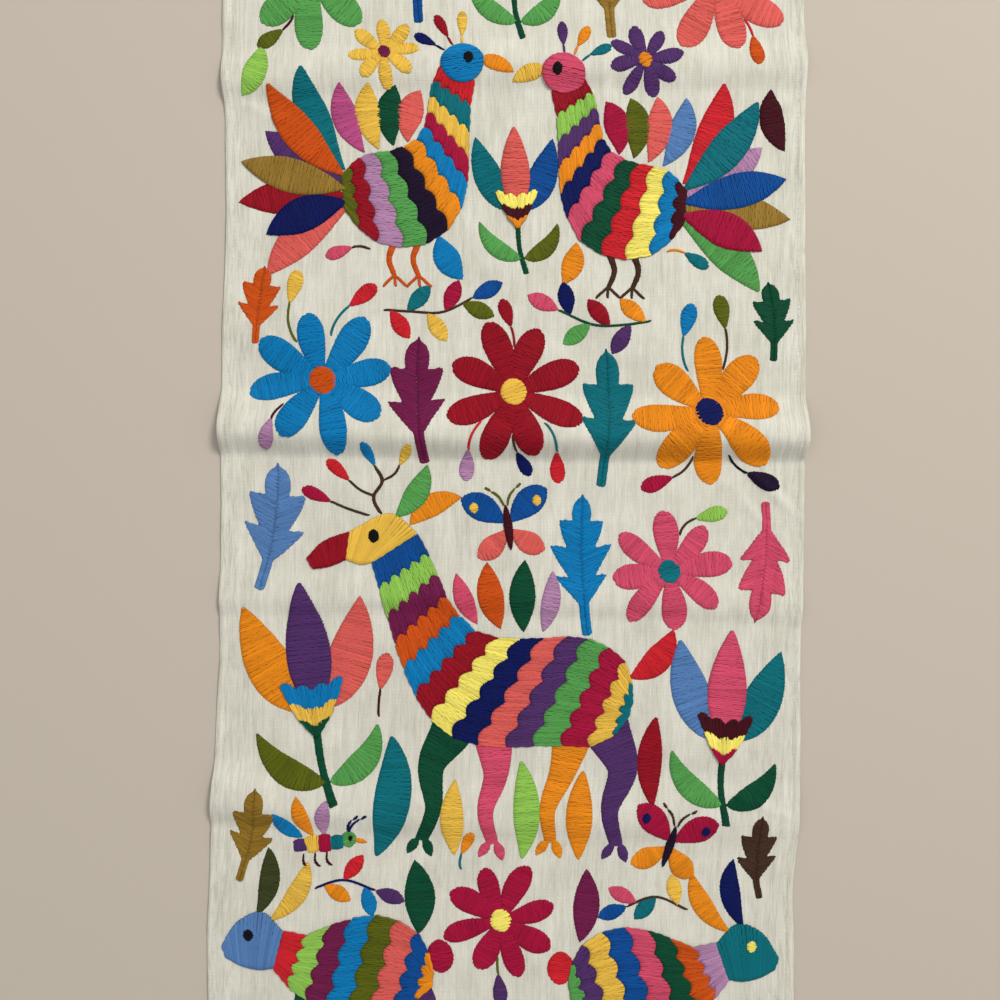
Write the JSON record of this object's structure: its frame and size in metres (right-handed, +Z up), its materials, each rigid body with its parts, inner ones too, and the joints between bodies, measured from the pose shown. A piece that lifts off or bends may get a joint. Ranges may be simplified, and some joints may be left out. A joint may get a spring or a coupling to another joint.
{
  "type": "otomi embroidered cloth",
  "caption": "Long narrow hemmed cotton cloth, lying flat with a raised crease across it, covered in bright satin-stitch animals, birds, flowers and leaves.",
  "frame": {"origin": "under the middle of the cloth, at the height of the surface that it lies on", "axes": "+Y along the cloth's length, +X across its width, +Z up"},
  "size_m": [0.4042, 0.9, 0.0125],
  "materials": {
    "unbleached_cotton": "matt plain weave",
    "embroidery_thread": "soft cotton sheen, many colours"
  },
  "bodies": {
    "root": {"cloth_panel": "unbleached_cotton"}
  },
  "joints": []
}
